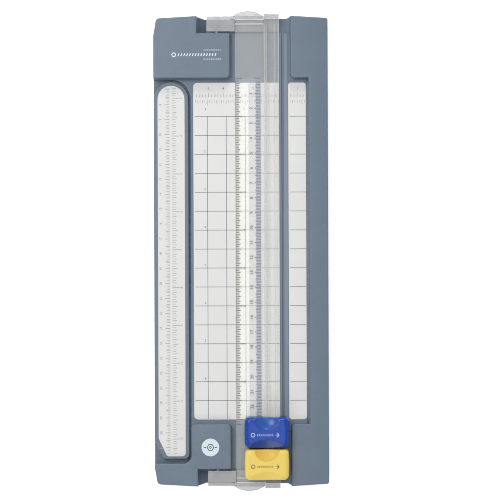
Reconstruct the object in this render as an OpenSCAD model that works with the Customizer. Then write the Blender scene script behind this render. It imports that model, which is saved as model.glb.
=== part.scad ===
// Rotary paper trimmer. A moulded base carries a printed cutting deck, a
// swing-out ruler arm, and a clear guide rail that is hinged along its left
// side. A scoring cassette and a cutting cassette slide on the rail, each with
// a sprung cap that presses a small steel wheel down onto the cutting strip.
//
// X runs across the cut, Y runs along it away from the user, and Z is up.
// The origin is the middle of the footprint, on the surface it stands on.

/* [Base] */
// Width of the base
base_w = 116.8; // [116:0.2:120]
// Length of the base over its bowed ends
base_l = 314.8; // [313:0.2:317]
// Height of the deck above the table
deck_z = 12; // [12:0.5:14]
// Height of the raised blocks and side ridge above the deck
block_h = 6; // [5:0.5:7]
// Length of the opening between the two pairs of blocks, where the paper goes
paper_l = 231.4; // [228:0.2:232]
// Thickness of the outer wall
wall = 2.2; // [2:0.1:2.4]
// Thickness of the deck and block tops
skin = 2; // [1.6:0.1:2]
// How far the rubber feet hold the base off the table
foot_h = 1.5; // [1:0.1:1.5]
// Corner radius of the raised blocks
block_r = 2.7; // [1:0.1:4]

/* [Cutting line] */
// Distance of the wheels' plane from the middle of the base
cut_x = 28.1; // [28:0.1:28.2]
// Width of the cutting strip
strip_w = 5.7; // [5.5:0.1:5.8]
// Depth of the cutting groove
groove_d = 1.6; // [1.5:0.1:1.8]

/* [Labels] */
// Thickness of the printed sheets
label_t = 0.3; // [0.2:0.05:0.4]
// Length of the two deck sheets
label_l = 225.8; // [220:0.2:227]

/* [Rail] */
// Distance of the rail's hinge axis from the middle of the base
hinge_x = 16; // [15:0.2:17]
// Thickness of the clear plate
plate_t = 2; // [1.6:0.1:2.2]
// Gap left for paper between the deck sheet and the plate
paper_t = 0.35; // [0.3:0.05:0.5]
// Length of the guide rib
rib_l = 316.8; // [315:0.2:318]
// Length of the rail over its lifting tabs
tab_l = 321.6; // [320:0.2:323]
// Radius of the hinge pins
pin_r = 1.2; // [1:0.1:1.4]

/* [Swing arm] */
// Width of the arm
arm_w = 23.4; // [22:0.2:24]
// Distance of the arm's far end from its pivot
arm_reach = 241.5; // [236:0.5:242]
// Thickness of the arm
arm_t = 3.7; // [3:0.1:3.7]
// Distance of the pivot from the middle of the base, along the cut
pivot_y = 102; // [101:0.2:102]
// Radius of the arm's journal
journal_r = 5; // [4:0.2:6]

/* [Cassettes] */
// Width of a cassette across the cut
cap_w = 30.1; // [29:0.1:30.4]
// Length of a cassette along the cut
cap_l = 20.9; // [20.5:0.1:21]
// Distance of the cutting cassette's middle from the middle of the base
park_y = 142.2; // [142:0.1:143]
// Gap between the two parked cassettes
park_gap = 0.4; // [0.3:0.1:1]
// How far a cap can be pressed down
press = 2; // [1.5:0.1:2]
// Radius of the cutting and scoring wheels
wheel_r = 7; // [6:0.1:7]
// Thickness of the cutting wheel
cut_t = 0.5; // [0.3:0.1:0.5]
// Thickness of the scoring wheel
score_t = 0.7; // [0.6:0.1:0.7]

/* [Hidden] */

eps = 0.01;
far = 20;                                   // reach of a cut past the object's edge
running = 0.05;                             // radial clearance of a running fit

// Base
half_w = base_w / 2;
half_l = base_l / 2;
block_z = deck_z + block_h;
block_y = paper_l / 2;                      // the blocks' faces that the paper meets
end_step = 1.6;                             // the ends step back beside the rail
end_bow = 1.5;                              // the ends' outer corners lie this far in from their middle
end_slope = [5.2, 2.4];                     // width of the step's slopes, left and right
shoulder = [13.4, 2, 6, 2.7];               // left corners: length, width and the two corner radii
right_r = 1.5;
block_left_x = -7.1;                        // inner side of the left blocks
block_right_x = 33.3;                       // inner side of the right blocks
ridge_x = [43.9, 45.6];                     // foot and top of the right ridge's slope
ridge_lap = 1;                              // the ridge runs this far into the blocks
notch_x = -29.2;                            // left side of the hinge notches
notch_y = 145.9;                            // the notches' inner wall
notch_z = 5;                                // floor of the hinge notches
notch_slope = [6.2, 4.5];                   // width and height of the slope at the notches' left side
channel_end_z = deck_z - 1.4;               // floor of the channel's two ends
cover_t = 1.5;
cover_z = foot_h + cover_t;                 // top of the bottom cover
cover_gap = 0.2;
rib_t = 1.6;                                // ribs under the deck
deck_cells_y = 111;                         // half length of the hollows under the deck
boss_r = 3.4;
boss_bite = 0.5;                            // how far the bosses reach into the skin
screw_r = 1.1;
screw_head_r = 2.4;
screw_l = 7;
screw_slot = [0.6, 0.9];                    // width and depth of the cross in a screw's head
hinge_boss = [2.2, 5.5];                    // wall and length of the bosses that hold the pins
block_screw_xy = [[-40, 128], [39, 136], [50.5, 26], [39, -136], [-22, -128]];
deck_screw_xy = [[-24, 0]];
cover_screw_xy = concat(block_screw_xy, deck_screw_xy);
foot_r = 6;
foot_inset = 0.8;                           // depth of the feet's seats in the cover
foot_bevel = 0.6;
foot_xy = [[-46, 143], [46, 143], [46, -143], [-46, -146], [-46, 0], [46, 0]];

// Arm recess
arm_gap = 1.3;
arm_rest = 0.3;                             // gap under the arm
arm_far_gap = 2.5;                          // gap past the arm's free end
recess_r = 5.4;                             // radius of the recess's near corner
pivot_x = arm_w / 2 - half_w;
arm_top_z = deck_z;
recess_z = arm_top_z - arm_t - arm_rest;
recess_far_y = pivot_y + arm_w / 2 + arm_gap;
recess_near_y = pivot_y - arm_reach - arm_far_gap;
recess_x = pivot_x + arm_w / 2 + arm_gap;
label_inset = 2.65;                         // the arm's rim around its printed sheet
washer_t = 1;
washer_r = 7.5;
washer_z = recess_z - skin - 0.15;          // top of the washer
arm_screw_r = 1.4;
arm_screw_head = [2.9, 1.2];                // radius and height
arm_screw_slot = [3.4, 0.7, 0.8];           // length, width and depth of the cross
arm_screw_hole = 6;
arm_hold = [9, 2];                          // length and height of the finger hold's slope
journal_drop = 1;                           // the journal stops this far under the arm's top

// Cutting strip
strip_x = 26;
strip_y = notch_y;                          // the strip ends at the channel's low ends
strip_z = [deck_z - 2.2, deck_z + 0.4];
groove_x = [27.4, 28.7];

// Deck sheets
sheet_left_x = -31.8;
sheet_right_x = 25.8;
side_sheet_x = [31.9, 43.7];
side_sheet_r = 1.9;
sheet_z = deck_z + 0.05;                    // the sheets stand just proud
sheet_seat_z = sheet_z - label_t;           // floor of the sheets' seats
emblem_xy = [-21, -131.2];
emblem_r = 5.9;
emblem_seat = 0.5;                          // depth of its seat
emblem_t = 0.6;

// Rail: plate, web and flange, seen end on
plate_x = [-3.8, 25.8];
plate_z = sheet_z + paper_t;
plate_top = plate_z + plate_t;
web_x = [17.6, 22.6];
flange_x = [15.6, 25.8];
flange_z = [plate_top + 2.8, plate_top + 5.6];
lug_x = -22.7;                              // left end of the hinge lugs
lug_y = [147.1, 157.4];
hinge_z = deck_z + 2;
lug_z = [hinge_z - 2.4, hinge_z + 2.4];
lug_slope = [2.4, 2.8];                     // chamfer on the lugs' outer top edge
pin_y = [142.2, 152];
stop_y = 151.8;                             // end stops that hold the runners on
tab_x = 5;
tab_r = 17.6;
tab_t = 1.6;
grip_y = [151.6, 154.6];                    // low grip ridges beside the tabs
grip = [0.8, 0.6];                          // width and height of a grip ridge
film_x = [-3.5, 14.2];
film_t = 0.15;

// Cassettes
cap_x = 1.7;                                // left side of the caps
cap_z = plate_top + 2.8;                    // lower edge of the caps at rest
cap_h = 11.8;
cap_r = 2.8;
cap_near_r = 3.4;                           // the near corners are rounder
cap_bow = 0.3;                              // the sides bulge by this much
cap_side_r = 20;
cap_draft = 0.3;                            // the walls lean in by this much
cap_edge_r = 2.9;                           // rounding of the top edge
cap_wall = 1.55;
ceiling_z = cap_z + 8;                      // roof of the cap's main hollow
wheel_z = strip_z[1] + 0.8 + wheel_r;       // wheels stand clear of the strip at rest
chamber_x = [27.15, 29.6];                  // the wheel's own narrow chamber
wheel_gap = 0.6;                            // room around the wheel's rim
chamber_z = wheel_z + wheel_r + wheel_gap;
boss_x = 28.55;                             // face of the axle boss
boss_wall = 0.4;                            // the axle boss is this much larger than the axle's head
axle_r = 1.5;
axle_head_r = 2.2;
axle_x = [27.25, 27.65, 31];                // head, shank and end of the axle
bowl_r = 15.7;                              // ball radius of the far thumb hollow
bowl_d = 2.5;                               // depth of the far hollow, at the cap's edge
scoop_r = 46.4;                             // ball radius of the near finger scoop
scoop_d = 4.2;                              // depth of the scoop at its middle
scoop_out = 13.8;                           // the scoop's middle lies this far past the cap
rub = 0.3;                                  // clearance of the runner on the rail
slip = 0.2;                                 // clearance of the runner in its cap
leg_t = [1.9, 1];                           // thickness of the runner's left and right legs
hook_h = 1.5;                               // height of the hooks that hold the runner on the rail
leg_gap = rub - 0.05;                       // clearance of the right leg, beside the wheel's chamber
deck_t = 1.7;                               // thickness of the runner's top
spring_xy = [[8.2, -4.5], [22.5, -4.5]];
spring_r = 1.9;
wire_r = 0.25;
seat_r = 2.5;
seat_z = [flange_z[1] + rub + 0.3, ceiling_z + 2];
keeper_x = [9, 21];                         // middles of the lugs that hold the cap down
keeper = [2.4, 1];                          // their width and height
spring_turns = 4;
spring_sides = 6;                           // sides of the wire
spring_steps = 12;                          // stretches of wire in a turn
spring_gap = 0.03;                          // clearance at each end

// Colours
slate = [0.46, 0.51, 0.57];
slate_dark = [0.36, 0.41, 0.47];
white = [0.9, 0.91, 0.92];
pale_blue = [0.8, 0.86, 0.9];
clear = [0.8, 0.82, 0.82, 0.45];
steel = [0.7, 0.71, 0.73];
blue = [0.13, 0.27, 0.62];
yellow = [0.93, 0.77, 0.3];
nylon = [0.25, 0.27, 0.3];

// ---------------------------------------------------------------- outlines

function unit(v) = v / norm(v);

// Points along the arc that rounds corner b, whose third value is its radius.
function corner(a, b, c, steps = 8) =
    b[2] == 0 ? [[b[0], b[1]]] :
    let (
        p = [b[0], b[1]],
        u = unit([a[0], a[1]] - p),
        v = unit([c[0], c[1]] - p),
        half = acos(u * v) / 2,
        middle = p + unit(u + v) * b[2] / sin(half),
        first = p + u * b[2] / tan(half) - middle,
        last = p + v * b[2] / tan(half) - middle,
        from = atan2(first[1], first[0]),
        turn = atan2(last[1], last[0]) - from,
        sweep = turn > 180 ? turn - 360 : turn < -180 ? turn + 360 : turn
    )
    [for (i = [0:steps]) let (a = from + sweep * i / steps) middle + b[2] * [cos(a), sin(a)]];

// A closed outline through [x, y, radius] corners.
function rounded(path) = let (n = len(path))
    [for (i = [0:n - 1]) each corner(path[(i + n - 1) % n], path[i], path[(i + 1) % n])];

// One end of the base from left to right; side is 1 for the far end, -1 for the near end.
function base_end(side, inset) = let (
    full = side * (half_l - inset),
    back = side * (half_l - end_step - inset),
    corner_y = side * (half_l - end_bow - inset)
) [
    [-half_w + inset, side * (half_l - shoulder[0]), shoulder[2]],
    [-half_w + shoulder[1] + inset, corner_y, max(shoulder[3] - inset, 0.5)],
    [notch_x, full, 0],
    [notch_x + end_slope[0], back, 0.8],
    [block_right_x - end_slope[1], back, 0.8],
    [block_right_x, full, 0],
    [half_w - inset, corner_y, max(right_r - inset, 0.5)]
];

function reversed(list) = [for (i = [len(list) - 1:-1:0]) list[i]];

module base_outline(inset = 0) {
    polygon(rounded(concat(base_end(1, inset), reversed(base_end(-1, inset)))));
}

// The arm's outline about its pivot, drawn in by inset.
module arm_outline(inset = 0) {
    r = arm_w / 2 - inset;
    end = arm_reach - inset * 0.75;
    polygon(rounded([
        [-r, r, r - eps], [r, r, r - eps], [r, -end, 3.3 - inset / 3],
        [-r + 5.7, -end, 2], [-r, -end + 12, 2]
    ]));
}

// A solid that runs the length of the object, from an outline drawn in X and Z.
module along_y(y0, y1) {
    translate([0, y1, 0]) rotate([90, 0, 0]) linear_extrude(y1 - y0) children();
}

// A solid that runs across the object, from an outline drawn in Y and Z.
module along_x(x0, x1) {
    translate([x0, 0, 0]) rotate([90, 0, 90]) linear_extrude(x1 - x0) children();
}

module slab(x, y, z) {
    translate([x[0], y[0], z[0]]) cube([x[1] - x[0], y[1] - y[0], z[1] - z[0]]);
}

// Both ends of the object: the children as drawn for the far end, and their mirror image.
module both_ends() {
    children();
    mirror([0, 1, 0]) children();
}

// -------------------------------------------------------------------- base

module left_far_block() {
    polygon(rounded([
        [-half_w - far, half_l + far, 0], [-half_w - far, block_y, 0],
        [block_left_x, block_y, block_r], [block_left_x, half_l + far, 0]
    ]));
}

module left_near_block() {
    polygon(rounded([
        [-half_w - far, -half_l - far, 0], [block_left_x, -half_l - far, 0],
        [block_left_x, -block_y, block_r], [recess_x, -block_y, block_r],
        [recess_x, recess_near_y, recess_r], [-half_w - far, recess_near_y, 0]
    ]));
}

module right_block() {
    polygon(rounded([
        [half_w + far, half_l + far, 0], [block_right_x, half_l + far, 0],
        [block_right_x, block_y, block_r], [half_w + far, block_y, 0]
    ]));
}

module raised_parts() {
    intersection() {
        translate([0, 0, deck_z - eps]) linear_extrude(block_h + eps) base_outline();
        union() {
            translate([0, 0, deck_z - eps]) linear_extrude(block_h + eps) {
                left_far_block();
                left_near_block();
                both_ends() right_block();
            }
            along_y(-block_y - ridge_lap, block_y + ridge_lap)
                polygon([
                    [ridge_x[0], deck_z - eps], [half_w + far, deck_z - eps],
                    [half_w + far, block_z], [ridge_x[1], block_z]
                ]);
        }
    }
}

module arm_recess() {
    translate([0, 0, recess_z]) linear_extrude(far)
        polygon(rounded([
            [-half_w - far, recess_far_y, 0], [recess_x, recess_far_y, arm_w / 2 + arm_gap - eps],
            [recess_x, recess_near_y, recess_r], [-half_w - far, recess_near_y, 0]
        ]));
}

// The notch that a hinge lug turns in, and the low end of the rail's channel.
module hinge_notch() {
    along_y(notch_y, half_l + far)
        polygon([
            [notch_x, block_z + 1], [notch_x, notch_z + notch_slope[1]], [notch_x + notch_slope[0], notch_z],
            [block_left_x, notch_z], [block_left_x, block_z + 1]
        ]);
    slab([block_left_x - eps, block_right_x], [notch_y, half_l + far], [channel_end_z, block_z + 1]);
}

// A row of hollows open at the bottom, with ribs left between them.
module cells(x, y, roof, across, along) {
    dx = (x[1] - x[0] + rib_t) / across;
    dy = (y[1] - y[0] + rib_t) / along;
    for (i = [0:across - 1], j = [0:along - 1])
        translate([x[0] + i * dx, y[0] + j * dy, cover_z - eps])
            cube([dx - rib_t, dy - rib_t, roof - cover_z + eps]);
}

module hollows() {
    inner_y = half_l - end_step - wall - 1;
    block_roof = block_z - skin;
    strip_roof = strip_z[0] - skin;
    deck = [-deck_cells_y, deck_cells_y];
    left = [wall - half_w, block_left_x - wall];
    arm = [wall - half_w, recess_x - 2];
    corner = [wall - half_w + 2.5, notch_x - wall];
    // under the deck, the cutting strip and the rail's channel
    cells([sheet_left_x, strip_x - 2], deck, deck_z - skin, 2, 6);
    cells([strip_x - 0.4, ridge_x[0] - 1.4], deck, strip_roof, 1, 6);
    both_ends() cells([-5, 31], [deck_cells_y + 2, notch_y - 2.5], strip_roof, 2, 1);
    // under the arm
    cells(arm, [recess_near_y + 2.5, 83], recess_z - skin, 1, 6);
    cells(arm, [85, recess_far_y - 2], recess_z - skin, 1, 1);
    // under the ridge and the right blocks
    cells([ridge_x[1] + 0.5, half_w - wall], [2 - inner_y, inner_y - 2], block_roof, 1, 6);
    both_ends()
        cells([block_right_x + wall, ridge_x[1] - 1.1], [block_y + wall, inner_y], block_roof, 1, 1);
    // under the left blocks
    cells(left, [block_y + wall, notch_y - 4.5], block_roof, 2, 1);
    cells(corner, [notch_y - 2.9, inner_y], block_roof, 1, 1);
    cells([recess_x + wall, left[1]], [4.5 - notch_y, -block_y - wall], block_roof, 1, 1);
    cells(corner, [-inner_y, recess_near_y - wall], block_roof, 1, 1);
}

// Bosses that the cover's screws bite into, reaching up into the skin at roof.
module screw_bosses(places, roof) {
    for (p = places)
        translate([p[0], p[1], cover_z])
            cylinder(r = boss_r, h = roof - cover_z + boss_bite, $fn = 32);
}

module base_shell() {
    color(slate) difference() {
        union() {
            difference() {
                union() {
                    translate([0, 0, foot_h]) linear_extrude(deck_z - foot_h) base_outline();
                    raised_parts();
                }
                translate([0, 0, foot_h - eps]) linear_extrude(cover_t + eps)
                    base_outline(wall);
                hollows();
            }
            screw_bosses(block_screw_xy, block_z - skin);
            screw_bosses(deck_screw_xy, deck_z - skin);
            both_ends() translate([-hinge_x, notch_y - eps, hinge_z]) rotate([90, 0, 0])
                cylinder(r = pin_r + hinge_boss[0], h = hinge_boss[1], $fn = 32);
        }
        arm_recess();
        both_ends() hinge_notch();
        translate([0, 0, sheet_seat_z]) linear_extrude(1) {
            deck_sheet();
            side_sheet();
        }
        slab([strip_x, strip_x + strip_w], [-strip_y - eps, strip_y + eps], [strip_z[0], deck_z + 1]);
        translate([emblem_xy[0], emblem_xy[1], block_z - emblem_seat])
            cylinder(r = emblem_r, h = 1, $fn = 64);
        both_ends() translate([-hinge_x, notch_y + 1, hinge_z]) rotate([90, 0, 0])
            cylinder(r = pin_r + running, h = notch_y + 1.3 - pin_y[0], $fn = 32);
        translate([pivot_x, pivot_y, cover_z]) cylinder(r = journal_r + running, h = far, $fn = 64);
        for (p = cover_screw_xy)
            translate([p[0], p[1], cover_z - 1]) cylinder(r = screw_r, h = screw_l, $fn = 32);
    }
}

// The cross cut into a screw's head, from z = 0 up; size is its length, width and depth.
module cross_slot(size) {
    for (a = [0, 90])
        rotate(a) translate([-size[0] / 2, -size[1] / 2, -eps]) cube([size[0], size[1], size[2] + eps]);
}

// A countersunk screw pointing up, its head's face at z = 0.
module countersunk(r, head_r, length) {
    cone = head_r - r;
    difference() {
        union() {
            cylinder(r1 = head_r, r2 = r, h = cone, $fn = 32);
            cylinder(r = r, h = length, $fn = 32);
        }
        cross_slot([head_r * 1.3, screw_slot[0], screw_slot[1]]);
    }
}

module bottom_cover() {
    color(slate_dark) difference() {
        translate([0, 0, foot_h]) linear_extrude(cover_t) base_outline(wall + cover_gap);
        for (p = foot_xy)
            translate([p[0], p[1], foot_h - eps]) cylinder(r = foot_r, h = foot_inset + eps, $fn = 48);
        for (p = cover_screw_xy) translate([p[0], p[1], foot_h]) {
            cylinder(r1 = screw_head_r, r2 = screw_r, h = screw_head_r - screw_r, $fn = 32);
            cylinder(r = screw_r, h = far, $fn = 32);
        }
    }
}

module rubber_feet() {
    color([0.15, 0.15, 0.16]) for (p = foot_xy) translate([p[0], p[1], 0]) {
        cylinder(r1 = foot_r - foot_bevel, r2 = foot_r, h = foot_bevel, $fn = 48);
        translate([0, 0, foot_bevel - eps])
            cylinder(r = foot_r, h = foot_h + foot_inset - foot_bevel + eps, $fn = 48);
    }
}

module cover_screws() {
    color(steel) for (p = cover_screw_xy)
        translate([p[0], p[1], foot_h]) countersunk(screw_r, screw_head_r, screw_l);
}

module cutting_strip() {
    color([0.5, 0.56, 0.63]) difference() {
        slab([strip_x, strip_x + strip_w], [-strip_y, strip_y], strip_z);
        slab(groove_x, [-strip_y - 1, strip_y + 1], [strip_z[1] - groove_d, strip_z[1] + 1]);
    }
}

// ------------------------------------------------------------------ labels

module deck_sheet() {
    half = label_l / 2;
    polygon(rounded([
        [sheet_left_x, -half, block_r], [sheet_right_x, -half, 0],
        [sheet_right_x, half, 0], [sheet_left_x, half, block_r]
    ]));
}

module side_sheet() {
    half = label_l / 2;
    x = side_sheet_x;
    r = side_sheet_r;
    polygon(rounded([[x[0], -half, r], [x[1], -half, r], [x[1], half, r], [x[0], half, r]]));
}

module deck_label() {
    color(white) translate([0, 0, sheet_seat_z]) linear_extrude(label_t) deck_sheet();
}

module side_label() {
    color(white) translate([0, 0, sheet_seat_z]) linear_extrude(label_t) side_sheet();
}

module emblem_disc() {
    color(pale_blue) translate([emblem_xy[0], emblem_xy[1], block_z - emblem_seat])
        cylinder(r = emblem_r, h = emblem_t, $fn = 64);
}

// -------------------------------------------------------------------- rail

module hinge_lug() {
    along_x(lug_x, plate_x[0] + eps)
        polygon([
            [lug_y[0], lug_z[0]], [lug_y[1], lug_z[0]], [lug_y[1], lug_z[1] - lug_slope[1]],
            [lug_y[1] - lug_slope[0], lug_z[1]], [lug_y[0], lug_z[1]]
        ]);
}

// Half-moon lip that a thumb lifts the rail by, and the ridges beside it.
module lifting_tab() {
    intersection() {
        translate([tab_x, tab_l / 2 - tab_r, plate_z]) cylinder(r = tab_r, h = tab_t, $fn = 96);
        slab([-half_w, half_w], [lug_y[1] - 1, tab_l], [0, block_z]);
    }
    for (y = grip_y)
        slab([plate_x[0], flange_x[0] + eps], [y, y + grip[0]], [plate_top - eps, plate_top + grip[1]]);
}

module clear_rail() {
    color(clear) difference() {
        union() {
            slab(plate_x, [-lug_y[1], lug_y[1]], [plate_z, plate_top]);
            slab([flange_x[0], flange_x[1]], [-rib_l / 2, rib_l / 2], [plate_z, plate_top]);
            slab(web_x, [-rib_l / 2, rib_l / 2], [plate_top - eps, flange_z[0] + eps]);
            slab(flange_x, [-rib_l / 2, rib_l / 2], flange_z);
            both_ends() {
                slab(flange_x, [stop_y, rib_l / 2], [plate_z, flange_z[1]]);
                hinge_lug();
                lifting_tab();
            }
        }
        both_ends() translate([-hinge_x, pin_y[1], hinge_z]) rotate([90, 0, 0])
            cylinder(r = pin_r, h = far, $fn = 32);
        slab(film_x, [-block_y, block_y], [plate_z - 1, plate_z + film_t]);
    }
}

module rail_scale() {
    color([0.75, 0.8, 0.88, 0.6]) slab(film_x, [-block_y, block_y], [plate_z, plate_z + film_t]);
}

module hinge_pin() {
    color(steel) translate([-hinge_x, pin_y[1], hinge_z]) rotate([90, 0, 0])
        cylinder(r = pin_r, h = pin_y[1] - pin_y[0], $fn = 32);
}

module hinge_pin_far() {
    hinge_pin();
}

module hinge_pin_near() {
    mirror([0, 1, 0]) hinge_pin();
}

// --------------------------------------------------------------- swing arm

module swing_arm() {
    color(slate) translate([pivot_x, pivot_y, 0]) difference() {
        union() {
            translate([0, 0, arm_top_z - arm_t]) linear_extrude(arm_t) arm_outline();
            translate([0, 0, washer_z])
                cylinder(r = journal_r, h = arm_top_z - journal_drop - washer_z, $fn = 64);
        }
        translate([0, 0, sheet_seat_z]) linear_extrude(1) arm_outline(label_inset);
        translate([0, 0, washer_z - 1]) cylinder(r = arm_screw_r, h = arm_screw_hole, $fn = 32);
        // the sloping finger hold under the free end
        along_x(-arm_w, arm_w)
            polygon([
                [-arm_reach - 1, arm_top_z - arm_t - 1],
                [-arm_reach + arm_hold[0], arm_top_z - arm_t - eps],
                [-arm_reach - 1, arm_top_z - arm_t + arm_hold[1]]
            ]);
    }
}

module arm_label() {
    color(white) translate([pivot_x, pivot_y, sheet_seat_z])
        linear_extrude(label_t) arm_outline(label_inset);
}

module arm_washer() {
    color(steel) translate([pivot_x, pivot_y, washer_z - washer_t]) difference() {
        cylinder(r = washer_r, h = washer_t, $fn = 64);
        translate([0, 0, -1]) cylinder(r = arm_screw_r + running, h = far, $fn = 32);
    }
}

module arm_screw() {
    head_h = arm_screw_head[1];
    color(steel) translate([pivot_x, pivot_y, washer_z - washer_t - head_h]) difference() {
        union() {
            cylinder(r = arm_screw_head[0], h = head_h, $fn = 32);
            cylinder(r = arm_screw_r, h = head_h + washer_t + arm_screw_hole - 1, $fn = 32);
        }
        cross_slot(arm_screw_slot);
    }
}

// --------------------------------------------------------------- cassettes
// Drawn with their middle at y = 0 and then moved along the rail.

score_y = -park_y + cap_l + park_gap;
cut_y = -park_y;

module cap_outline(inset) {
    x0 = cap_x + inset;
    x1 = cap_x + cap_w - inset;
    y = cap_l / 2 - inset;
    far_r = cap_r - inset / 2;
    near_r = cap_near_r - inset / 2;
    polygon(rounded([
        [x0 + cap_bow, -y, near_r], [x1 - cap_bow, -y, near_r], [x1, 0, cap_side_r],
        [x1 - cap_bow, y, far_r], [x0 + cap_bow, y, far_r], [x0, 0, cap_side_r]
    ]));
}

// The cap without its hollows: leaning walls under a rounded top edge.
module cap_block() {
    steps = [
        [0, 0],
        for (a = [0:18:90])
            [cap_draft + cap_edge_r * (1 - cos(a)), cap_h - cap_edge_r * (1 - sin(a))]
    ];
    hull() for (s = steps)
        translate([0, 0, cap_z + max(s[1] - eps, 0)]) linear_extrude(eps) cap_outline(s[0]);
}

module cap(tint) {
    mid_x = cap_x + cap_w / 2;
    top_z = cap_z + cap_h;
    keeper_y = cap_l / 2 - cap_wall / 2;
    keeper_z = flange_z[1] + rub;
    color(tint) difference() {
        cap_block();
        // thumb hollow, open towards the far end
        translate([mid_x, cap_l / 2, top_z - bowl_d + bowl_r]) sphere(r = bowl_r, $fn = 96);
        // shallow finger scoop across the near end
        translate([mid_x, -cap_l / 2 - scoop_out, top_z - scoop_d + scoop_r])
            sphere(r = scoop_r, $fn = 96);
        difference() {
            union() {
                slab([cap_x + cap_wall, chamber_x[1]], [cap_wall - cap_l / 2, cap_l / 2 - cap_wall],
                     [cap_z - 1, ceiling_z]);
                slab(chamber_x, [-wheel_r - wheel_gap, wheel_r + wheel_gap], [cap_z - 1, chamber_z]);
            }
            translate([boss_x, 0, wheel_z]) rotate([0, 90, 0])
                cylinder(r = axle_head_r + boss_wall, h = far, $fn = 32);
        }
        // the rail passes through, and the cap sinks around it
        slab([flange_x[0] - rub, flange_x[1] + rub], [-cap_l, cap_l],
             [cap_z - 1, flange_z[1] + press + rub]);
        // slots that the runner's lugs hold the cap by
        for (x = keeper_x)
            slab([x - keeper[0] / 2 - slip, x + keeper[0] / 2 + slip], [-keeper_y, keeper_y],
                 [keeper_z, keeper_z + keeper[1] + press + 2 * slip]);
        for (p = spring_xy)
            translate([p[0], p[1], ceiling_z - 1])
                cylinder(r = seat_r, h = seat_z[1] - ceiling_z + 1, $fn = 32);
        translate([axle_x[0], 0, wheel_z]) rotate([0, 90, 0])
            cylinder(r = axle_r, h = axle_x[2] - axle_x[0], $fn = 32);
    }
}

module runner() {
    x = [cap_x + cap_wall + slip, chamber_x[0] - slip / 2];
    y = cap_l / 2 - cap_wall - slip;
    keeper_y = cap_l / 2 - cap_wall / 2 - slip;
    z = [flange_z[1] + rub, flange_z[1] + rub + deck_t];
    hook_z = [flange_z[0] - rub - hook_h, flange_z[0] - rub];
    left_leg = flange_x[0] - rub;
    right_leg = flange_x[1] + leg_gap;
    color(nylon) difference() {
        union() {
            slab(x, [-y, y], z);
            // left leg and hook
            slab([left_leg - leg_t[0], left_leg], [-y, y], [hook_z[0], z[0] + eps]);
            slab([left_leg - eps, web_x[0] - rub], [-y, y], hook_z);
            // right leg and hook
            slab([right_leg, right_leg + leg_t[1]], [-y, y], [hook_z[0], z[0] + eps]);
            slab([web_x[1] + rub, right_leg + eps], [-y, y], hook_z);
            // lugs that hold the cap down against its springs
            for (x = keeper_x)
                slab([x - keeper[0] / 2, x + keeper[0] / 2], [-keeper_y, keeper_y],
                     [z[0] + slip, z[0] + slip + keeper[1]]);
        }
        for (p = spring_xy)
            translate([p[0], p[1], seat_z[0]]) cylinder(r = seat_r, h = far, $fn = 32);
    }
}

module axle() {
    color(steel) translate([axle_x[0], 0, wheel_z]) rotate([0, 90, 0]) {
        cylinder(r = axle_head_r, h = axle_x[1] - axle_x[0], $fn = 32);
        cylinder(r = axle_r, h = axle_x[2] - axle_x[0], $fn = 32);
    }
}

// A disc about X whose rim is drawn in by bevel over its last stretch of radius.
module wheel(thick, edge, stretch) {
    color([0.78, 0.79, 0.8]) translate([cut_x, 0, wheel_z]) rotate([0, 90, 0])
        rotate_extrude($fn = 96)
            polygon([
                [axle_r + running, -thick / 2], [wheel_r - stretch, -thick / 2], [wheel_r, -edge / 2],
                [wheel_r, edge / 2], [wheel_r - stretch, thick / 2], [axle_r + running, thick / 2]
            ]);
}

// One coil spring as a tube swept along its helix, with its foot at z = 0.
module spring(height) {
    sides = spring_sides;
    rings = spring_turns * spring_steps;
    rise = height - 2 * wire_r;
    points = [
        for (i = [0:rings], k = [0:sides - 1])
            let (
                a = 360 * i / spring_steps,
                b = 360 * k / sides,
                r = spring_r + wire_r * cos(b)
            )
            [r * cos(a), r * sin(a), wire_r + rise * i / rings + wire_r * sin(b)]
    ];
    skin_faces = [
        for (i = [0:rings - 1], k = [0:sides - 1])
            let (m = (k + 1) % sides)
            [i * sides + k, i * sides + m, (i + 1) * sides + m, (i + 1) * sides + k]
    ];
    ends = [[for (k = [sides - 1:-1:0]) k], [for (k = [0:sides - 1]) rings * sides + k]];
    polyhedron(points, concat(skin_faces, ends));
}

module springs() {
    color(steel) for (p = spring_xy)
        translate([p[0], p[1], seat_z[0] + spring_gap])
            spring(seat_z[1] - seat_z[0] - 2 * spring_gap);
}

module at_score() {
    translate([0, score_y, 0]) children();
}

module at_cut() {
    translate([0, cut_y, 0]) children();
}

module score_runner() { at_score() runner(); }
module score_springs() { at_score() springs(); }
module score_cap() { at_score() cap(blue); }
module score_axle() { at_score() axle(); }
module score_wheel() { at_score() wheel(score_t, score_t * 0.5, 0.3); }
module cut_runner() { at_cut() runner(); }
module cut_springs() { at_cut() springs(); }
module cut_cap() { at_cut() cap(yellow); }
module cut_axle() { at_cut() axle(); }
module cut_wheel() { at_cut() wheel(cut_t, 0.04, 1.5); }

base_shell();
bottom_cover();
rubber_feet();
cover_screws();
cutting_strip();
deck_label();
side_label();
emblem_disc();
clear_rail();
rail_scale();
hinge_pin_far();
hinge_pin_near();
swing_arm();
arm_label();
arm_washer();
arm_screw();
score_runner();
score_springs();
score_cap();
score_axle();
score_wheel();
cut_runner();
cut_springs();
cut_cap();
cut_axle();
cut_wheel();
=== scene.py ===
import math
import bmesh
import bpy
from mathutils import Matrix, Vector


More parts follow.
